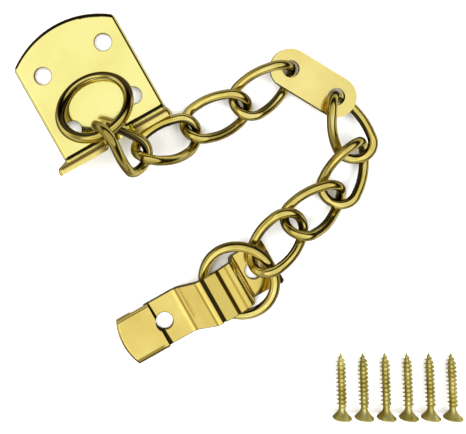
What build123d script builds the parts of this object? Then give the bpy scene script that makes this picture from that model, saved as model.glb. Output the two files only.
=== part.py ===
"""Door chain guard: frame keeper, ring-ended chain with a tab, door bracket and wood screws.

Millimetres. The keeper lies on its back with its lip standing up, and the chain and the door
bracket lie beside it. The origin is the middle of the keeper's four screw holes, on its back face.
+X runs along the lip, +Y towards the arched top and +Z out of the face.
"""
from build123d import *
from math import cos, radians, sin, sqrt
import os

# Keeper: an L of sheet with an arched top, and a slot open at the front edge of its lip
SHEET = 3.0
KEEPER_WIDTH = 46.0
ARCH_SPRING_Y = 20.0
ARCH_RISE = 8.0
ARCH_CORNER_R = 2.5
LIP_INNER_Y = -21.5
LIP_HEIGHT = 30.0
LIP_CORNER_R = 2.0
BEND_OUTER_R = 2.4
BEND_INNER_R = 0.9
FACE_EDGE_R = 1.8
SLOT_WIDTH = 12.0
SLOT_X = 2.5
SLOT_BOTTOM_Z = 8.0
SCREW_HOLE_R = 3.5
KEEPER_HOLES_X = 27.6
KEEPER_HOLES_Y = 24.5

# Chain
RING_R = 14.0
RING_WIRE_R = 2.0
LINK_WIRE_R = 1.9
LINK_HALF_LENGTH = 13.3
LINK_END_HALF_WIDTH = 7.0
LINK_MID_HALF_WIDTH = 8.2
LINK_TWIST = 45.0
LINK_END_R = 6.3
LINK_SIDE_R = 26.0
TAB_HOLE_SPACING = 21.0
TAB_END_R = 8.0
TAB_THICKNESS = 2.0
TAB_HOLE_R = 3.45

# Keeper ring, leaning from the lip to the plate
KEEPER_RING_MIDDLE = (-1.2, -8.41, 14.34)
KEEPER_RING_LEAN = 40.2

# Where the loose chain lies: x, y, z of the middle, heading, pitch and roll in degrees
LINK_LAYS = [
    (1.35, -26.29, 19.89, -70.5, -31.3, -58.5),
    (16.73, -34.49, 9.58, -9.1, -20.1, -19.8),
    (38.42, -35.63, 5.32, -6.6, 0.0, -2.2),
    (60.1, -35.4, 6.0, 8.2, 2.6, 15.0),
    (81.3, -64.6, 7.0, -96.7, 0.3, -17.5),
    (72.2, -80.0, 6.3, -142.6, -5.6, -13.4),
    (54.1, -86.5, 7.2, -176.7, 10.7, -1.3),
    (34.4, -89.8, 8.9, -157.6, 0.4, 17.6),
]
TAB_LAY = (78.0, -42.8, 6.45, -61.0)

# Door bracket: a strap of one thickness, told by the run of its underside
STRAP = 1.8
STRAP_WIDTH = 19.0
BRACKET_Y = -97.3
SHOULDER_X = -24.2
RAMP_FOOT_X = -9.7
BRIDGE_START_X = -0.4
BRIDGE_KNEE_X = 8.2
BRIDGE_LOW_X = 13.9
STEP_FOOT_X = 15.1
CURL_X = 28.6
BRACKET_END_X = 30.0
BRIDGE_Z = 8.1
BRIDGE_LOW_Z = 6.6
CURL_Z = 3.3
STRAP_BENDS = [8.0, 3.5, 3.0, 1.2, 2.5, 2.5]
STRAP_CORNER_R = 1.6
CREASE_X = 1.6
CREASE_WIDTH = 1.4
CREASE_DEPTH = 0.9
GROOVE_X = 8.3
GROOVE_WIDTH = 1.6
CAP_HOLE_X = -19.7
FAR_HOLE_X = 21.3
TONGUE_WIDTH = 16.0
TONGUE_END_X = -36.2
TONGUE_LOW_Z = 0.8
TONGUE_TOP_Z = 1.4

# Sliding cap
CAP_START_X = -38.7
CAP_EDGE_X = -22.4
CAP_BULGE = 2.0
CAP_TOP_Z = 4.5
CAP_WALL = 1.1
CAP_RIM_Z = 1.95
CAP_FOOT_END_X = -30.8
CAP_FOOT_Z = 0.15
CAP_FOOT_TOP_Z = 0.65
CAP_FOOT_REACH = 2.2
CAP_EDGE_R = 1.4
CAP_NOTCH_R = 3.7

# Bracket ring, left side under the bridge, right side up on the last link
BRACKET_RING_X = 14.1
BRACKET_RING_Y = -96.5
BRACKET_RING_Z = 5.85
BRACKET_RING_TILT = 14.5

# Wood screws, lying in a row
SCREW_LENGTH = 25.4
SCREW_HEAD_R = 3.95
SCREW_HEAD_DEPTH = 4.6
SCREW_HEAD_RIM = 0.5
SCREW_THREAD_R = 2.05
SCREW_TIP_LENGTH = 4.5
SCREW_TIP_R = 0.15
SCREW_HEADING = 60.5
FIRST_SCREW = (23.0, -165.3)
SCREW_STEP = (7.70, -4.36)
KEEPER_SCREWS = 4
BRACKET_SCREWS = 2
RECESS_LENGTH = 4.0
RECESS_WIDTH = 0.9
RECESS_DEPTH = 1.8


def lay_plane(x, y, z, heading, pitch, roll):
    """Plane whose x runs along a piece that points at heading, rises at pitch and is rolled."""
    along = Vector(1, 0, 0).rotate(Axis.Y, -pitch).rotate(Axis.Z, heading)
    up = Vector(0, 0, 1).rotate(Axis.X, roll).rotate(Axis.Y, -pitch).rotate(Axis.Z, heading)
    return Plane(origin=(x, y, z), x_dir=along, z_dir=up)


def save(part, name):
    """Label a finished piece and write it."""
    part.label = name
    export_step(part, f"parts/{name}.step")


def make_keeper():
    """L-shaped frame plate with its lip, slot and four screw holes."""
    half = KEEPER_WIDTH / 2
    outer_y = LIP_INNER_Y - SHEET
    with BuildPart() as keeper:
        with BuildSketch() as face:
            with BuildLine():
                Line((-half, outer_y), (half, outer_y))
                Line((half, outer_y), (half, ARCH_SPRING_Y))
                SagittaArc((half, ARCH_SPRING_Y), (-half, ARCH_SPRING_Y), -ARCH_RISE)
                Line((-half, ARCH_SPRING_Y), (-half, outer_y))
            make_face()
            fillet(face.vertices().group_by(Axis.Y)[-1], ARCH_CORNER_R)
        extrude(amount=SHEET)
        with BuildSketch(Plane.XZ.offset(-LIP_INNER_Y)) as lip:
            with Locations((0, LIP_HEIGHT / 2)):
                Rectangle(KEEPER_WIDTH, LIP_HEIGHT)
            fillet(lip.vertices().group_by(Axis.Y)[-1], LIP_CORNER_R)
            with Locations((SLOT_X, LIP_HEIGHT)):
                SlotCenterToCenter(
                    2 * (LIP_HEIGHT - SLOT_BOTTOM_Z - SLOT_WIDTH / 2), SLOT_WIDTH,
                    rotation=90, mode=Mode.SUBTRACT,
                )
        extrude(amount=SHEET)
        along_x = keeper.edges().filter_by(Axis.X)
        fillet(along_x.group_by(Axis.Z)[0].sort_by(Axis.Y)[0], BEND_OUTER_R)
        bend = keeper.edges().filter_by(Axis.X).filter_by_position(Axis.Z, SHEET - 0.01, SHEET + 0.01)
        fillet(bend.sort_by(Axis.Y)[0], BEND_INNER_R)
        at_face = keeper.edges().filter_by_position(Axis.Z, SHEET - 0.01, SHEET + 0.01)
        fillet(at_face.filter_by(Axis.Y) + at_face.filter_by(GeomType.CIRCLE), FACE_EDGE_R)
        with Locations((0, 0, SHEET)):
            with GridLocations(KEEPER_HOLES_X, KEEPER_HOLES_Y, 2, 2):
                Hole(SCREW_HOLE_R)
    return keeper.part


def make_ring(plane):
    """Closed round ring of round wire."""
    with BuildPart(plane) as ring:
        Torus(RING_R, RING_WIRE_R)
    return ring.part


def make_link(lay):
    """Curb link: a long loop of round wire whose two ends are twisted opposite ways."""
    side = LINK_END_HALF_WIDTH * cos(radians(LINK_TWIST))
    rise = LINK_END_HALF_WIDTH * sin(radians(LINK_TWIST))
    corners = [
        (LINK_HALF_LENGTH, side, rise),
        (0, LINK_MID_HALF_WIDTH, 0),
        (-LINK_HALF_LENGTH, side, -rise),
        (-LINK_HALF_LENGTH, -side, rise),
        (0, -LINK_MID_HALF_WIDTH, 0),
        (LINK_HALF_LENGTH, -side, -rise),
    ]
    bends = [LINK_END_R, LINK_SIDE_R, LINK_END_R] * 2
    with BuildPart() as link:
        with BuildLine(lay_plane(*lay)) as wire:
            FilletPolyline(*corners, radius=bends, close=True)
        for run in wire.edges():
            with BuildSketch(Plane(origin=run @ 0, z_dir=run % 0)):
                Circle(LINK_WIRE_R)
            sweep(path=run)
    return link.part


def make_tab():
    """Flat plate with round ends and a hole near each end."""
    with BuildPart() as tab:
        with BuildSketch(lay_plane(*TAB_LAY, 0, 0)):
            SlotCenterToCenter(TAB_HOLE_SPACING, 2 * TAB_END_R)
            with GridLocations(TAB_HOLE_SPACING, 1, 2, 1):
                Circle(TAB_HOLE_R, mode=Mode.SUBTRACT)
        extrude(amount=TAB_THICKNESS / 2, both=True)
    return tab.part


def make_bracket():
    """Pressed strap: tongue, flat, ramp, bridge over the ring, step, low flat and turned-up end."""
    edge_y = BRACKET_Y + STRAP_WIDTH / 2
    underside = [
        (SHOULDER_X, 0),
        (RAMP_FOOT_X, 0),
        (BRIDGE_START_X, BRIDGE_Z),
        (BRIDGE_KNEE_X, BRIDGE_Z),
        (BRIDGE_LOW_X, BRIDGE_LOW_Z),
        (STEP_FOOT_X, 0),
        (CURL_X, 0),
        (BRACKET_END_X, CURL_Z - STRAP / 2),
    ]
    with BuildPart() as bracket:
        with BuildSketch(Plane.XZ.offset(-edge_y)):
            with BuildLine():
                FilletPolyline(*underside, radius=STRAP_BENDS)
                offset(amount=STRAP, side=Side.LEFT)
            make_face()
        extrude(amount=STRAP_WIDTH)
        with BuildSketch(Plane.XZ.offset(-edge_y)):
            with Locations((CREASE_X, BRIDGE_Z + STRAP)):
                Rectangle(CREASE_WIDTH, 2 * CREASE_DEPTH)
            with Locations((GROOVE_X, BRIDGE_Z + STRAP)):
                Rectangle(GROOVE_WIDTH / sqrt(2), GROOVE_WIDTH / sqrt(2), rotation=45)
        extrude(amount=STRAP_WIDTH, mode=Mode.SUBTRACT)
        with BuildSketch() as outline:
            with Locations(((SHOULDER_X + BRACKET_END_X) / 2, BRACKET_Y)):
                Rectangle(BRACKET_END_X - SHOULDER_X + 1, STRAP_WIDTH)
            fillet(outline.vertices().group_by(Axis.X)[-1], STRAP_CORNER_R)
        extrude(amount=2 * BRIDGE_Z, mode=Mode.INTERSECT)
        with BuildSketch(Plane.XY.offset(TONGUE_LOW_Z)):
            with Locations(((TONGUE_END_X + SHOULDER_X) / 2, BRACKET_Y)):
                Rectangle(SHOULDER_X - TONGUE_END_X + 1, TONGUE_WIDTH)
        extrude(amount=TONGUE_TOP_Z - TONGUE_LOW_Z)
        with Locations((CAP_HOLE_X, BRACKET_Y, STRAP), (FAR_HOLE_X, BRACKET_Y, STRAP)):
            Hole(SCREW_HOLE_R)
    return bracket.part


def cap_outline(inset):
    """Face of the cap in plan, moved in from its sides and from its bulging end."""
    half = STRAP_WIDTH / 2 - inset
    low = BRACKET_Y - half
    high = BRACKET_Y + half
    corner_x = CAP_START_X + CAP_BULGE + inset
    with BuildSketch(mode=Mode.PRIVATE) as outline:
        with BuildLine():
            Line((CAP_EDGE_X, high), (corner_x, high))
            SagittaArc((corner_x, high), (corner_x, low), -CAP_BULGE)
            Line((corner_x, low), (CAP_EDGE_X, low))
            Line((CAP_EDGE_X, low), (CAP_EDGE_X, high))
        make_face()
    return outline.sketch


def make_cap():
    """Low cover that slides on the strap, held by two feet turned in under its tongue."""
    foot_start_x = CAP_START_X + CAP_BULGE
    foot_length = CAP_FOOT_END_X - foot_start_x
    foot_x = (foot_start_x + CAP_FOOT_END_X) / 2
    wall_y = STRAP_WIDTH / 2 - CAP_WALL / 2
    flange_y = STRAP_WIDTH / 2 - (CAP_WALL + CAP_FOOT_REACH) / 2
    with BuildPart() as cap:
        with BuildSketch(Plane.XY.offset(CAP_RIM_Z)):
            add(cap_outline(0))
        extrude(amount=CAP_TOP_Z - CAP_RIM_Z)
        top = cap.faces().sort_by(Axis.Z)[-1]
        fillet(top.edges().sort_by(Axis.X)[:-1], CAP_EDGE_R)
        with BuildSketch(Plane.XY.offset(CAP_RIM_Z)):
            add(cap_outline(CAP_WALL))
        extrude(amount=CAP_TOP_Z - CAP_WALL - CAP_RIM_Z, mode=Mode.SUBTRACT)
        with BuildSketch(Plane.XY.offset(CAP_FOOT_Z)):
            with Locations((foot_x, BRACKET_Y - wall_y), (foot_x, BRACKET_Y + wall_y)):
                Rectangle(foot_length, CAP_WALL)
        extrude(amount=CAP_RIM_Z - CAP_FOOT_Z)
        with BuildSketch(Plane.XY.offset(CAP_FOOT_Z)):
            with Locations((foot_x, BRACKET_Y - flange_y), (foot_x, BRACKET_Y + flange_y)):
                Rectangle(foot_length, CAP_WALL + CAP_FOOT_REACH)
        extrude(amount=CAP_FOOT_TOP_Z - CAP_FOOT_Z)
        with Locations((CAP_HOLE_X, BRACKET_Y, CAP_TOP_Z)):
            Hole(CAP_NOTCH_R)
    return cap.part


def make_screw():
    """One countersunk wood screw standing on its head, with a cross recess."""
    neck_z = SCREW_LENGTH - SCREW_TIP_LENGTH
    with BuildPart() as screw:
        with BuildSketch(Plane.XZ):
            with BuildLine():
                Polyline(
                    (0, 0),
                    (SCREW_HEAD_R, 0),
                    (SCREW_HEAD_R, SCREW_HEAD_RIM),
                    (SCREW_THREAD_R, SCREW_HEAD_DEPTH),
                    (SCREW_THREAD_R, neck_z),
                    (SCREW_TIP_R, SCREW_LENGTH),
                    (0, SCREW_LENGTH),
                    (0, 0),
                )
            make_face()
        revolve(axis=Axis.Z)
        with BuildSketch():
            Rectangle(RECESS_LENGTH, RECESS_WIDTH)
            Rectangle(RECESS_WIDTH, RECESS_LENGTH)
        extrude(amount=RECESS_DEPTH, mode=Mode.SUBTRACT)
    return screw.part


def make_screw_row(first, count):
    """Screws lying side by side on their head rims and tips."""
    sink = (SCREW_HEAD_R - SCREW_THREAD_R) / (SCREW_LENGTH - SCREW_TIP_LENGTH)
    level = sqrt(1 - sink**2)
    tipward = Vector(level * cos(radians(SCREW_HEADING)), level * sin(radians(SCREW_HEADING)), -sink)
    lays = []
    for index in range(first, first + count):
        head = (
            FIRST_SCREW[0] + index * SCREW_STEP[0],
            FIRST_SCREW[1] + index * SCREW_STEP[1],
            SCREW_HEAD_R,
        )
        lays.append(Plane(origin=head, z_dir=tipward))
    screw = make_screw()
    with BuildPart() as row:
        with Locations(*lays):
            add(screw)
    return row.part


os.makedirs("parts", exist_ok=True)

save(make_keeper(), "keeper_plate")

keeper_ring_plane = Plane(
    origin=KEEPER_RING_MIDDLE, x_dir=(1, 0, 0), z_dir=Vector(0, 0, 1).rotate(Axis.X, -KEEPER_RING_LEAN)
)
save(make_ring(keeper_ring_plane), "keeper_ring")

for number, link_lay in enumerate(LINK_LAYS, start=1):
    save(make_link(link_lay), f"chain_link_{number}")

save(make_tab(), "chain_tab")

bracket_ring_plane = lay_plane(
    BRACKET_RING_X, BRACKET_RING_Y, BRACKET_RING_Z, 0, BRACKET_RING_TILT, 0
)
save(make_ring(bracket_ring_plane), "bracket_ring")
save(make_bracket(), "door_bracket")
save(make_cap(), "bracket_cap")
save(make_screw_row(0, KEEPER_SCREWS), "keeper_screws")
save(make_screw_row(KEEPER_SCREWS, BRACKET_SCREWS), "bracket_screws")
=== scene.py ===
"""Door chain guard in polished and dark brass, laid out flat under soft studio light."""
import math

import bmesh
import bpy
from mathutils import Matrix, Vector


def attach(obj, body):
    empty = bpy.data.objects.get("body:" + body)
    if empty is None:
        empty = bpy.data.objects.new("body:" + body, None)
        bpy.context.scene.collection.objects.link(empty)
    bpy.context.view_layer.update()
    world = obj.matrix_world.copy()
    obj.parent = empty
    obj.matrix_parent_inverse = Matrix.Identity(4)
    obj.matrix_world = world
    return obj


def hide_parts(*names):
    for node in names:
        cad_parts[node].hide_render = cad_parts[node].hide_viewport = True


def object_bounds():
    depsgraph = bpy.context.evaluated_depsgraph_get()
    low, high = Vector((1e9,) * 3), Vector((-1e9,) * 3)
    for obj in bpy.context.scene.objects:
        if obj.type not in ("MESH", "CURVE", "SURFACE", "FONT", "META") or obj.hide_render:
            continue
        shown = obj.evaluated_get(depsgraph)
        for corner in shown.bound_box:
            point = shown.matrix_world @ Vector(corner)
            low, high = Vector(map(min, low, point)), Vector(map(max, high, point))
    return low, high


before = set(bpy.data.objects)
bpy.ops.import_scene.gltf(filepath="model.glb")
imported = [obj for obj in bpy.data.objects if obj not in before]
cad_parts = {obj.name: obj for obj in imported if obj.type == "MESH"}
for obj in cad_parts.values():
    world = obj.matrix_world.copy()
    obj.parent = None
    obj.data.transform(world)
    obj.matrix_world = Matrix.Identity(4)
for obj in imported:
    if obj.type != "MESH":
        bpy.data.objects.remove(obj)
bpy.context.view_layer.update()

MM = 0.001

# Camera: it looks straight down beside the keeper, and its shift brings in the chain and the bracket
CAMERA_PLACE = (15.2 * MM, -9.6 * MM, 255 * MM)
CAMERA_TURN = -29.5
CAMERA_LENS = 48.7
CAMERA_SENSOR = 36
CAMERA_SHIFT = (0.215, -0.277)

# Floor and lights, in metres
FLOOR_HALF = 20.0
FLOOR_GAP = 0.05 * MM
LIGHT_TARGET = (0.03, -0.08, 0)
LIGHT_SIZE = 0.6

# Wood screws: the same row as in the CAD model, with cut threads
SCREW_LENGTH = 25.4
HEAD_R = 3.75
HEAD_RIM = 0.35
HEAD_DEPTH = 3.9
HEAD_CHAMFER_Z = 0.12
HEAD_CHAMFER_SCALE = 0.965
THREAD_R = 2.05
CORE_R = 1.2
PITCH = 1.62
CREST_HALF_WIDTH = 0.2
THREAD_FADE = 1.2
THREAD_ROUNDS = 40
THREAD_STEPS = 330
TIP_LENGTH = 4.5
RECESS_HALF_LENGTH = 2.2
RECESS_HALF_WIDTH = 0.42
RECESS_DEPTH = 2.2
RECESS_OVERCUT = 0.5
SCREW_HEADING = 60.5
SCREW_SINK = (HEAD_R - THREAD_R) / (SCREW_LENGTH - TIP_LENGTH)
FIRST_SCREW = (23.0, -165.3)
SCREW_STEP = (7.70, -4.36)
SCREW_SPIN = 47
KEEPER_SCREWS = 4
BRACKET_SCREWS = 2

# Places on the keeper, as in the CAD model
SLOT_X = 2.5
KEEPER_HOLE_X = 13.8
KEEPER_HOLE_Y = 12.25
SCREW_HOLE_R = 3.5

# Places on the bracket and its cap, as in the CAD model
BRACKET_Y = -97.3
STRAP_HALF = 9.5
CAP_HOLE_X = -19.7
FAR_HOLE_X = 21.3
CAP_EDGE_X = -22.4
RAMP_FOOT_X = -9.7
CREASE_X = 1.6
GROOVE_X = 8.3
BRIDGE_LOW_X = 13.9

# Places on the tab, as in the CAD model
TAB_MIDDLE = (78.0, -42.8)
TAB_TURN = -61.0
TAB_HOLE_SPACING = 21.0
TAB_HOLE_R = 3.45

# Where the painted shade, shadow, highlights and reflections begin and end, in millimetres
HOLE_MARK = 0.22
BORE_MARK = 0.4
LIP_TONE_Z = (12, 27)
SLOT_TONE_Z = (22, 28)
SLOT_TONE_REACH = (11, 6)
BRIDGE_SOFT = 0.5
LOW_LINE_X = GROOVE_X + 3.6
RAMP_TOP_X = -5.0
# Painted shadow beside the cap's edge: its width, slope, softness and start
CAP_SHADOW_MIDDLE = 0.95
CAP_SHADOW_SLOPE = 0.055
CAP_SHADOW_SOFT = 0.1
CAP_SHADOW_START = (-0.8, -0.6)
STRAP_EDGE = (STRAP_HALF - 0.35, STRAP_HALF - 0.1)
CAP_BAND_START = (STRAP_HALF - 2.3, STRAP_HALF - 2.0)
CAP_BAND_END = (STRAP_HALF - 0.7, STRAP_HALF - 0.9)
CAP_BAND_X = (CAP_EDGE_X - 1.0, CAP_EDGE_X - 2.5)
TAB_EDGE = (7.55, 7.75)

# Colours of the marks, and the sides that they are on. The marks are part of the base colour, laid on by
# place or by the way the surface faces. Most of them stand for dark cards that the polished brass would
# reflect from above, and their sides suit that one view. They don't move with the camera.
NEAR_BLACK = (0.03, 0.02, 0.005)
OLIVE = (0.20, 0.14, 0.02)
LIGHT_OLIVE = (0.42, 0.32, 0.06)
DEEP_GOLD = (0.80, 0.58, 0.16)
BRIGHT_GOLD = (0.97, 0.89, 0.32)
UPWARD = (0, 0, 1)
RIM_SIDE = (0.50, 0.87, 0)
LONG_SIDE = (1, 0, 0)
CAP_SIDE = (-0.55, -0.84, 0)
FAR_SIDE = (0.49, 0.87, 0)
SCREW_SIDE = (-0.87, 0.49, 0)

# Deep, main and pale colour of each metal
KEEPER_GOLD = ((0.90, 0.80, 0.26), (0.97, 0.89, 0.32), (1.0, 0.93, 0.38))
TAB_GOLD = ((0.80, 0.65, 0.20), (0.89, 0.75, 0.26), (0.97, 0.85, 0.34))
BRASS = ((0.74, 0.57, 0.14), (0.82, 0.65, 0.18), (0.90, 0.74, 0.24))
ANTIQUE = ((0.54, 0.43, 0.09), (0.71, 0.59, 0.17), (0.87, 0.76, 0.30))
YELLOW_ZINC = ((0.38, 0.32, 0.06), (0.58, 0.51, 0.14), (0.86, 0.80, 0.36))

# Texture of every metal: uneven polish, and scratches drawn out along X
POLISH_FINENESS = 3.1
LEAST_ROUGH = 0.7
MOST_ROUGH = 1.5
SCRATCH_STRETCH = (1.0, 9.0, 9.0)
SCRATCH_FINENESS = 900.0
SCRATCH_DEPTH = 0.02 * MM

# Colour sockets of a Mix node
MIX_UNDER = 6
MIX_OVER = 7
MIX_RESULT = 2


def link_nodes(tree, *pairs):
    """Join each (output socket, input socket) pair."""
    for out_socket, in_socket in pairs:
        tree.links.new(out_socket, in_socket)


def ramp(tree, stops):
    """Colour ramp node with (position, colour) stops."""
    node = tree.nodes.new("ShaderNodeValToRGB")
    elements = node.color_ramp.elements
    for element, (position, colour) in zip(elements, (stops[0], stops[-1])):
        element.position = position
        element.color = (*colour, 1)
    for position, colour in stops[1:-1]:
        elements.new(position).color = (*colour, 1)
    return node


def smooth_step(tree, value, start, end):
    """Output that goes from 0 to 1 as the value goes from start to end."""
    step = tree.nodes.new("ShaderNodeMapRange")
    step.interpolation_type = "SMOOTHSTEP"
    step.inputs["From Min"].default_value = start
    step.inputs["From Max"].default_value = end
    tree.links.new(value, step.inputs["Value"])
    return step.outputs["Result"]


def step_mm(tree, value, limits):
    """Smooth step of a length between two limits in millimetres."""
    return smooth_step(tree, value, limits[0] * MM, limits[1] * MM)


def reckon(tree, operation, first, second=0):
    """Output of a math node on two sockets or numbers."""
    node = tree.nodes.new("ShaderNodeMath")
    node.operation = operation
    for socket, value in zip(node.inputs, (first, second)):
        if isinstance(value, (int, float)):
            socket.default_value = value
        else:
            tree.links.new(value, socket)
    return node.outputs["Value"]


def times(tree, first, second):
    """Product of two sockets or numbers, which for masks is where both of them are."""
    return reckon(tree, "MULTIPLY", first, second)


def away_from(tree, value, middle):
    """Distance of a length from a middle given in millimetres."""
    return reckon(tree, "ABSOLUTE", reckon(tree, "SUBTRACT", value, middle * MM))


def lean(tree, place, direction):
    """How far the surface leans towards a direction, from -1 to 1."""
    facing = tree.nodes.new("ShaderNodeVectorMath")
    facing.operation = "DOT_PRODUCT"
    facing.inputs[1].default_value = direction
    tree.links.new(place.outputs["Normal"], facing.inputs[0])
    return facing.outputs["Value"]


def paint(tree, colour, mask, over, strength=1.0):
    """Colour output with another colour laid over it where the mask is 1."""
    if strength < 1:
        mask = times(tree, mask, strength)
    blend = tree.nodes.new("ShaderNodeMix")
    blend.data_type = "RGBA"
    blend.inputs[MIX_OVER].default_value = (*over, 1)
    tree.links.new(mask, blend.inputs["Factor"])
    tree.links.new(colour, blend.inputs[MIX_UNDER])
    return blend.outputs[MIX_RESULT]


def metal(name, colours, rough, grain, scratch, marks, metallic=1.0):
    """Plated metal: cloudy colour, uneven polish, fine scratches and the marks of its piece."""
    material = bpy.data.materials.new(name)
    material.use_nodes = True
    tree = material.node_tree
    shader = tree.nodes["Principled BSDF"]
    shader.inputs["Metallic"].default_value = metallic
    place = tree.nodes.new("ShaderNodeTexCoord")

    cloud = tree.nodes.new("ShaderNodeTexNoise")
    cloud.inputs["Scale"].default_value = grain
    cloud.inputs["Detail"].default_value = 5.0
    tint = ramp(tree, list(zip((0.30, 0.52, 0.74), colours)))
    colour = marks(tree, place, tint.outputs["Color"])

    polish = tree.nodes.new("ShaderNodeTexNoise")
    polish.inputs["Scale"].default_value = grain * POLISH_FINENESS
    polish.inputs["Detail"].default_value = 6.0
    spread = tree.nodes.new("ShaderNodeMapRange")
    spread.inputs["To Min"].default_value = rough * LEAST_ROUGH
    spread.inputs["To Max"].default_value = rough * MOST_ROUGH

    stretch = tree.nodes.new("ShaderNodeMapping")
    stretch.inputs["Scale"].default_value = SCRATCH_STRETCH
    lines = tree.nodes.new("ShaderNodeTexNoise")
    lines.inputs["Scale"].default_value = SCRATCH_FINENESS
    lines.inputs["Detail"].default_value = 3.0
    bump = tree.nodes.new("ShaderNodeBump")
    bump.inputs["Strength"].default_value = scratch
    bump.inputs["Distance"].default_value = SCRATCH_DEPTH

    link_nodes(
        tree,
        (place.outputs["Object"], cloud.inputs["Vector"]),
        (cloud.outputs["Fac"], tint.inputs["Fac"]),
        (colour, shader.inputs["Base Color"]),
        (place.outputs["Object"], polish.inputs["Vector"]),
        (polish.outputs["Fac"], spread.inputs["Value"]),
        (spread.outputs["Result"], shader.inputs["Roughness"]),
        (place.outputs["Object"], stretch.inputs["Vector"]),
        (stretch.outputs["Vector"], lines.inputs["Vector"]),
        (lines.outputs["Fac"], bump.inputs["Height"]),
        (bump.outputs["Normal"], shader.inputs["Normal"]),
    )
    return material


def axes_of(tree, place):
    """X, Y and Z outputs of the object coordinates."""
    split = tree.nodes.new("ShaderNodeSeparateXYZ")
    tree.links.new(place.outputs["Object"], split.inputs["Vector"])
    return split.outputs


def near_hole(tree, place, x, y, reach):
    """Mask that is 1 within a reach of the upright axis through x and y, in millimetres."""
    flat = tree.nodes.new("ShaderNodeVectorMath")
    flat.operation = "MULTIPLY"
    flat.inputs[1].default_value = (1, 1, 0)
    away = tree.nodes.new("ShaderNodeVectorMath")
    away.operation = "DISTANCE"
    away.inputs[1].default_value = (x * MM, y * MM, 0)
    link_nodes(tree, (place.outputs["Object"], flat.inputs[0]), (flat.outputs["Vector"], away.inputs[0]))
    return step_mm(tree, away.outputs["Value"], (reach + 0.1, reach - 0.1))


def screw_marks(tree, place, colour):
    """Olive flank on one side of the threads and the heads, for the reflection there."""
    flank = smooth_step(tree, lean(tree, place, SCREW_SIDE), 0.30, 0.75)
    return paint(tree, colour, flank, OLIVE, 0.75)


def keeper_marks(tree, place, colour):
    """Black painted reflection on the rim, painted highlight on the long side, painted shade at the hole
    edges, a deeper painted reflection up the lip and painted shade round its slot.
    """
    axes = axes_of(tree, place)
    # Painted reflection: black on the rim where it faces RIM_SIDE
    rim = smooth_step(tree, lean(tree, place, RIM_SIDE), 0.10, 0.20)
    face = smooth_step(tree, lean(tree, place, UPWARD), 0.12, 0.30)
    colour = paint(tree, colour, times(tree, rim, face), NEAR_BLACK)
    # Painted highlight on the side that faces +X
    colour = paint(tree, colour, smooth_step(tree, lean(tree, place, LONG_SIDE), 0.64, 0.74), BRIGHT_GOLD)
    # Painted shade round the edges of the screw holes
    for x in (-KEEPER_HOLE_X, KEEPER_HOLE_X):
        for y in (-KEEPER_HOLE_Y, KEEPER_HOLE_Y):
            colour = paint(tree, colour, near_hole(tree, place, x, y, SCREW_HOLE_R + HOLE_MARK), OLIVE)
    # Painted reflection: a deeper tone up the lip
    colour = paint(tree, colour, step_mm(tree, axes["Z"], LIP_TONE_Z), DEEP_GOLD, 0.5)
    # Painted shade round the top of the slot
    near = step_mm(tree, away_from(tree, axes["X"], SLOT_X), SLOT_TONE_REACH)
    top = step_mm(tree, axes["Z"], SLOT_TONE_Z)
    return paint(tree, colour, times(tree, near, top), OLIVE)


def strap_marks(tree, place, colour):
    """Darker painted reflection on the bridge, painted shade at the hole edges, painted shade and
    reflections along the bends, a black painted shadow beside the cap and black painted reflections along
    the borders.
    """
    axes = axes_of(tree, place)
    # Painted reflection: a darker tone over the bridge
    bridge = times(
        tree,
        step_mm(tree, axes["X"], (CREASE_X, CREASE_X + BRIDGE_SOFT)),
        step_mm(tree, axes["X"], (BRIDGE_LOW_X, BRIDGE_LOW_X - BRIDGE_SOFT)),
    )
    colour = paint(tree, colour, bridge, LIGHT_OLIVE, 0.3)
    # Painted shade round the edges of the screw holes
    for x in (CAP_HOLE_X, FAR_HOLE_X):
        colour = paint(tree, colour, near_hole(tree, place, x, BRACKET_Y, SCREW_HOLE_R + HOLE_MARK), OLIVE)
    # Painted shade and reflections along the bends: black at the crease, olive at the groove, light olive
    # at the low step, deeper gold at the ramp's top and foot
    for middle, half, soft, over in (
        (CREASE_X, 0.85, 0.12, NEAR_BLACK),
        (GROOVE_X, 0.55, 0.55, OLIVE),
        (LOW_LINE_X, 0.1, 0.7, LIGHT_OLIVE),
        (RAMP_TOP_X, 0.2, 1.0, DEEP_GOLD),
        (RAMP_FOOT_X, 0.2, 1.2, DEEP_GOLD),
    ):
        line = step_mm(tree, away_from(tree, axes["X"], middle), (half + soft, half))
        colour = paint(tree, colour, line, over)
    # Painted shadow: a black wedge on the strap beside the cap's edge, wider towards -Y
    past = reckon(tree, "SUBTRACT", axes["X"], CAP_EDGE_X * MM)
    across = reckon(tree, "SUBTRACT", axes["Y"], BRACKET_Y * MM)
    width = reckon(tree, "SUBTRACT", CAP_SHADOW_MIDDLE * MM, times(tree, across, CAP_SHADOW_SLOPE))
    within = step_mm(tree, reckon(tree, "SUBTRACT", past, width), (CAP_SHADOW_SOFT, 0))
    beyond = step_mm(tree, past, CAP_SHADOW_START)
    colour = paint(tree, colour, times(tree, within, beyond), NEAR_BLACK)
    # Painted reflection: black along the strap's long borders
    border = step_mm(tree, reckon(tree, "ABSOLUTE", across), STRAP_EDGE)
    return paint(tree, colour, border, NEAR_BLACK, 0.85)


def cap_marks(tree, place, colour):
    """Olive painted reflections on the roundings at the cap's outer end and front side, and an olive
    painted reflection in a band inside the front one.
    """
    axes = axes_of(tree, place)
    # Painted reflection: an olive band inside the front rounding
    across = reckon(tree, "SUBTRACT", BRACKET_Y * MM, axes["Y"])
    band = times(tree, step_mm(tree, across, CAP_BAND_START), step_mm(tree, across, CAP_BAND_END))
    band = times(tree, band, step_mm(tree, axes["X"], CAP_BAND_X))
    colour = paint(tree, colour, band, OLIVE, 0.8)
    # Painted reflection on the roundings that face CAP_SIDE
    edge = smooth_step(tree, lean(tree, place, CAP_SIDE), 0.15, 0.35)
    face = smooth_step(tree, lean(tree, place, UPWARD), 0.15, 0.40)
    return paint(tree, colour, times(tree, edge, face), OLIVE)


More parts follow.
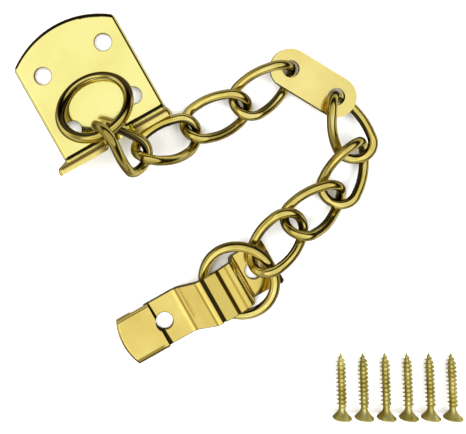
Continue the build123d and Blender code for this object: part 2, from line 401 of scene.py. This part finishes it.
def tab_marks(tree, place, colour):
    """Black painted shade in the bores, on the front walls and along the front edge of the top."""
    turn = math.radians(TAB_TURN)
    forward = (math.sin(turn), -math.cos(turn), 0)
    # Painted shade: black on the walls of the bores and on the front side
    wall = smooth_step(tree, lean(tree, place, UPWARD), 0.7, 0.3)
    side = smooth_step(tree, lean(tree, place, forward), 0.1, 0.4)
    for way in (-0.5, 0.5):
        hole_x = TAB_MIDDLE[0] + way * TAB_HOLE_SPACING * math.cos(turn)
        hole_y = TAB_MIDDLE[1] + way * TAB_HOLE_SPACING * math.sin(turn)
        side = reckon(tree, "MAXIMUM", side, near_hole(tree, place, hole_x, hole_y, TAB_HOLE_R + BORE_MARK))
    front = tree.nodes.new("ShaderNodeVectorMath")
    front.operation = "DOT_PRODUCT"
    front.inputs[1].default_value = forward
    tree.links.new(place.outputs["Object"], front.inputs[0])
    middle = (TAB_MIDDLE[0] * forward[0] + TAB_MIDDLE[1] * forward[1]) * MM
    reach = reckon(tree, "SUBTRACT", front.outputs["Value"], middle)
    # Painted shade also along the front edge of the top
    dark = reckon(tree, "MAXIMUM", times(tree, wall, side), step_mm(tree, reach, TAB_EDGE))
    return paint(tree, colour, dark, NEAR_BLACK)


def inward(tree, place, centre):
    """How far the surface faces the centre of its loop, from -1 to 1."""
    toward = tree.nodes.new("ShaderNodeVectorMath")
    toward.operation = "SUBTRACT"
    toward.inputs[0].default_value = centre
    level = tree.nodes.new("ShaderNodeVectorMath")
    level.operation = "NORMALIZE"
    facing = tree.nodes.new("ShaderNodeVectorMath")
    facing.operation = "DOT_PRODUCT"
    link_nodes(
        tree,
        (place.outputs["Object"], toward.inputs[1]),
        (toward.outputs["Vector"], level.inputs[0]),
        (level.outputs["Vector"], facing.inputs[0]),
        (place.outputs["Normal"], facing.inputs[1]),
    )
    return facing.outputs["Value"]


def link_marks(centre):
    """Marks of a chain link: black inside and olive outside, for the reflections there."""

    def marks(tree, place, colour):
        facing = inward(tree, place, centre)
        colour = paint(tree, colour, smooth_step(tree, facing, 0.38, 0.68), NEAR_BLACK, 0.93)
        return paint(tree, colour, smooth_step(tree, facing, -0.40, -0.90), OLIVE, 0.65)

    return marks


def ring_marks(centre, inside, outside):
    """Painted reflections on a ring: black inside and on its far flank, olive outside, as strong as asked.
    """

    def marks(tree, place, colour):
        facing = inward(tree, place, centre)
        far = lean(tree, place, FAR_SIDE)
        colour = paint(tree, colour, smooth_step(tree, facing, -0.40, -0.85), OLIVE, outside)
        inner = times(
            tree,
            smooth_step(tree, facing, 0.40, 0.65),
            smooth_step(tree, far, -0.45, -0.15),
        )
        colour = paint(tree, colour, inner, NEAR_BLACK, inside)
        flank = times(
            tree,
            smooth_step(tree, far, 0.38, 0.55),
            smooth_step(tree, far, 0.97, 0.85),
        )
        return paint(tree, colour, flank, NEAR_BLACK, inside)

    return marks


def middle_of(node):
    """Centre of a node's bounding box in its own coordinates."""
    corners = [Vector(corner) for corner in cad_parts[node].bound_box]
    return sum(corners, Vector()) / len(corners)


def dress(node, material):
    """Put one material on a CAD node."""
    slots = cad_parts[node].data.materials
    slots.clear()
    slots.append(material)


def dress_chain():
    """Dark brass on the links and the two rings, each marked round its own middle."""
    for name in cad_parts:
        if name.startswith("chain_link"):
            marks = link_marks(middle_of(name))
            dress(name, metal(f"{name}_brass", ANTIQUE, 0.12, 90, 0.10, marks))
    for name, inside, outside in (("keeper_ring", 0.95, 0.4), ("bracket_ring", 0.6, 0.7)):
        marks = ring_marks(middle_of(name), inside, outside)
        dress(name, metal(f"{name}_brass", ANTIQUE, 0.10, 90, 0.10, marks))


def dress_plates():
    """Polished brass on the keeper, the tab, the bracket and its cap."""
    dress("keeper_plate", metal("keeper_brass", KEEPER_GOLD, 0.09, 40, 0.05, keeper_marks))
    dress("chain_tab", metal("tab_brass", TAB_GOLD, 0.16, 45, 0.10, tab_marks))
    dress("door_bracket", metal("bracket_brass", BRASS, 0.14, 60, 0.08, strap_marks))
    dress("bracket_cap", metal("cap_brass", BRASS, 0.14, 60, 0.08, cap_marks))


def lathe_with_thread():
    """Grid of points of one wood screw standing on its head, its thread cut as a helix."""
    rows = []
    neck = SCREW_LENGTH - TIP_LENGTH
    for step in range(THREAD_STEPS + 1):
        z = HEAD_RIM + (SCREW_LENGTH - HEAD_RIM) * step / THREAD_STEPS
        taper = 1.0 if z < neck else max(0.03, (SCREW_LENGTH - z) / TIP_LENGTH)
        flare = max(0.0, 1 - (z - HEAD_RIM) / (HEAD_DEPTH - HEAD_RIM))
        core = CORE_R * taper**0.75 + (HEAD_R - CORE_R) * flare**1.6
        fade = min(1.0, max(0.0, (z - HEAD_DEPTH) / THREAD_FADE))
        row = []
        for k in range(THREAD_ROUNDS):
            turn = k / THREAD_ROUNDS
            phase = (z / PITCH - turn) % 1.0
            crest = max(0.0, 1 - abs(phase - 0.5) / CREST_HALF_WIDTH)
            height = (THREAD_R - CORE_R) * crest * fade * min(1.0, taper * 1.6)
            angle = 2 * math.pi * turn
            radius = core + height
            row.append((radius * math.cos(angle), radius * math.sin(angle), z))
        rows.append(row)
    return rows


def make_screw_mesh():
    """One screw as a closed mesh, its head without a recess."""
    rows = lathe_with_thread()
    turns = [2 * math.pi * k / THREAD_ROUNDS for k in range(THREAD_ROUNDS)]
    rim = [(HEAD_R * math.cos(turn), HEAD_R * math.sin(turn)) for turn in turns]
    rows.insert(0, [(x, y, HEAD_CHAMFER_Z) for x, y in rim])
    rows.insert(0, [(x * HEAD_CHAMFER_SCALE, y * HEAD_CHAMFER_SCALE, 0.0) for x, y in rim])
    work = bmesh.new()
    grid = [[work.verts.new(Vector(point) * MM) for point in row] for row in rows]
    for low, high in zip(grid, grid[1:]):
        for k in range(THREAD_ROUNDS):
            follow = (k + 1) % THREAD_ROUNDS
            work.faces.new((low[k], low[follow], high[follow], high[k]))
    work.faces.new(list(reversed(grid[0])))
    work.faces.new(grid[-1])
    mesh = bpy.data.meshes.new("screw")
    work.to_mesh(mesh)
    work.free()
    return mesh


def make_recess_mesh():
    """Tapered cross that the driver fits in."""
    long = RECESS_HALF_LENGTH
    thin = RECESS_HALF_WIDTH
    work = bmesh.new()
    for turn in (0.0, 90.0):
        matrix = Matrix.Rotation(math.radians(turn), 4, "Z")
        arm = [(-long, -thin), (long, -thin), (long, thin), (-long, thin)]
        low = [matrix @ Vector((x, y, -RECESS_OVERCUT)) * MM for x, y in arm]
        high = [matrix @ Vector((x * 0.35, y * 0.7, RECESS_DEPTH)) * MM for x, y in arm]
        verts = [work.verts.new(point) for point in low + high]
        for k in range(4):
            follow = (k + 1) % 4
            work.faces.new((verts[k], verts[follow], verts[4 + follow], verts[4 + k]))
        work.faces.new(list(reversed(verts[:4])))
        work.faces.new(verts[4:])
    mesh = bpy.data.meshes.new("recess")
    work.to_mesh(mesh)
    work.free()
    return mesh


def cut_screw():
    """Screw mesh with its recess cut, ready to copy."""
    screw = bpy.data.objects.new("screw_blank", make_screw_mesh())
    recess = bpy.data.objects.new("recess_blank", make_recess_mesh())
    for blank in (screw, recess):
        bpy.context.scene.collection.objects.link(blank)
    cut = screw.modifiers.new("cut", "BOOLEAN")
    cut.operation = "DIFFERENCE"
    cut.object = recess
    cut.solver = "EXACT"
    cut.use_self = True
    bpy.context.view_layer.update()
    depsgraph = bpy.context.evaluated_depsgraph_get()
    mesh = bpy.data.meshes.new_from_object(screw.evaluated_get(depsgraph))
    bpy.data.objects.remove(screw)
    bpy.data.objects.remove(recess)
    return mesh


def place_screws(mesh, node, body, count, first, material):
    """Lay copies of the screw in the places of a CAD node's screws."""
    heading = math.radians(SCREW_HEADING)
    level = math.sqrt(1 - SCREW_SINK**2)
    tipward = Vector((level * math.cos(heading), level * math.sin(heading), -SCREW_SINK))
    turn = tipward.to_track_quat("Z", "Y").to_matrix().to_4x4()
    first_head = Vector((FIRST_SCREW[0] * MM, FIRST_SCREW[1] * MM, HEAD_R * MM))
    for index in range(count):
        number = first + index
        place = first_head + Vector((number * SCREW_STEP[0], number * SCREW_STEP[1], 0)) * MM
        spin = Matrix.Rotation(math.radians(SCREW_SPIN * number), 4, "Z")
        copy = mesh.copy()
        copy.transform(Matrix.Translation(place) @ turn @ spin)
        copy.materials.clear()
        copy.materials.append(material)
        for polygon in copy.polygons:
            polygon.use_smooth = True
        copy.set_sharp_from_angle(angle=math.radians(40))
        piece = bpy.data.objects.new(f"wood_screw_{number + 1}", copy)
        bpy.context.scene.collection.objects.link(piece)
        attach(piece, body)
        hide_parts(node)


def make_camera():
    """Camera that looks straight down on the part."""
    data = bpy.data.cameras.new("camera")
    data.lens = CAMERA_LENS
    data.sensor_width = CAMERA_SENSOR
    data.shift_x, data.shift_y = CAMERA_SHIFT
    data.clip_start = 0.01
    camera = bpy.data.objects.new("camera", data)
    turn = Matrix.Rotation(math.radians(CAMERA_TURN), 4, "Z")
    camera.matrix_world = Matrix.Translation(CAMERA_PLACE) @ turn
    bpy.context.scene.collection.objects.link(camera)
    bpy.context.scene.camera = camera


def make_floor():
    """Plain pale floor just under the part, left out of its reflections."""
    work = bmesh.new()
    for x, y in ((-1, -1), (1, -1), (1, 1), (-1, 1)):
        work.verts.new((x * FLOOR_HALF, y * FLOOR_HALF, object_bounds()[0][2] - FLOOR_GAP))
    work.faces.new(work.verts)
    mesh = bpy.data.meshes.new("floor")
    work.to_mesh(mesh)
    work.free()
    material = bpy.data.materials.new("floor")
    material.use_nodes = True
    shader = material.node_tree.nodes["Principled BSDF"]
    shader.inputs["Base Color"].default_value = (0.93, 0.93, 0.93, 1)
    shader.inputs["Roughness"].default_value = 0.9
    shader.inputs["Specular IOR Level"].default_value = 0.1
    mesh.materials.append(material)
    floor = bpy.data.objects.new("floor", mesh)
    bpy.context.scene.collection.objects.link(floor)
    floor.visible_glossy = False


def make_world():
    """Soft tent of light: bright above, pale at the horizon and dark between, less so towards -X."""
    world = bpy.data.worlds.new("tent")
    world.use_nodes = True
    bpy.context.scene.world = world
    tree = world.node_tree
    place = tree.nodes.new("ShaderNodeTexCoord")
    split = tree.nodes.new("ShaderNodeSeparateXYZ")
    height = tree.nodes.new("ShaderNodeMapRange")
    height.inputs["From Min"].default_value = -1.0
    dark = ramp(tree, [
        (0.00, (0.25, 0.22, 0.15)),
        (0.12, (0.45, 0.42, 0.32)),
        (0.40, (0.85, 0.83, 0.76)),
        (0.54, (0.80, 0.79, 0.76)),
        (0.60, (0.03, 0.02, 0.01)),
        (0.80, (0.03, 0.02, 0.01)),
        (0.86, (0.90, 0.88, 0.82)),
        (0.90, (1.25, 1.22, 1.15)),
        (0.95, (1.0, 1.0, 1.0)),
        (1.00, (1.0, 1.0, 1.0)),
    ])
    pale = ramp(tree, [
        (0.00, (0.30, 0.27, 0.20)),
        (0.38, (0.20, 0.17, 0.10)),
        (0.46, (0.95, 0.95, 0.93)),
        (0.64, (1.0, 0.99, 0.95)),
        (0.72, (0.45, 0.42, 0.34)),
        (0.78, (0.45, 0.42, 0.34)),
        (0.86, (1.5, 1.45, 1.35)),
        (0.92, (1.3, 1.3, 1.25)),
        (0.96, (1.0, 1.0, 1.0)),
        (1.00, (1.0, 1.0, 1.0)),
    ])
    side = tree.nodes.new("ShaderNodeMapRange")
    side.inputs["From Min"].default_value = -0.55
    side.inputs["From Max"].default_value = -0.10
    blend = tree.nodes.new("ShaderNodeMix")
    blend.data_type = "RGBA"
    link_nodes(
        tree,
        (place.outputs["Generated"], split.inputs["Vector"]),
        (split.outputs["Z"], height.inputs["Value"]),
        (height.outputs["Result"], dark.inputs["Fac"]),
        (height.outputs["Result"], pale.inputs["Fac"]),
        (split.outputs["X"], side.inputs["Value"]),
        (side.outputs["Result"], blend.inputs["Factor"]),
        (pale.outputs["Color"], blend.inputs[MIX_UNDER]),
        (dark.outputs["Color"], blend.inputs[MIX_OVER]),
        (blend.outputs[MIX_RESULT], tree.nodes["Background"].inputs["Color"]),
    )
    tree.nodes["Background"].inputs["Strength"].default_value = 1.0


def make_light(name, place, power):
    """Square soft light aimed at the part, which doesn't show in reflections."""
    data = bpy.data.lights.new(name, "AREA")
    data.shape = "SQUARE"
    data.size = LIGHT_SIZE
    data.energy = power
    lamp = bpy.data.objects.new(name, data)
    lamp.location = place
    toward = Vector(LIGHT_TARGET) - Vector(place)
    lamp.rotation_euler = toward.to_track_quat("-Z", "Y").to_euler()
    lamp.visible_glossy = False
    bpy.context.scene.collection.objects.link(lamp)


bpy.context.scene.view_settings.view_transform = "Standard"
make_camera()
make_floor()
make_world()
make_light("key", (-0.25, 0.35, 0.7), 7.0)
make_light("fill", (0.35, -0.35, 0.6), 5.0)

dress_chain()
dress_plates()

blank = cut_screw()
zinc = metal("screw_plating", YELLOW_ZINC, 0.27, 200, 0.30, screw_marks, metallic=0.82)
place_screws(blank, "keeper_screws", "keeper_screws", KEEPER_SCREWS, 0, zinc)
place_screws(blank, "bracket_screws", "bracket_screws", BRACKET_SCREWS, KEEPER_SCREWS, zinc)
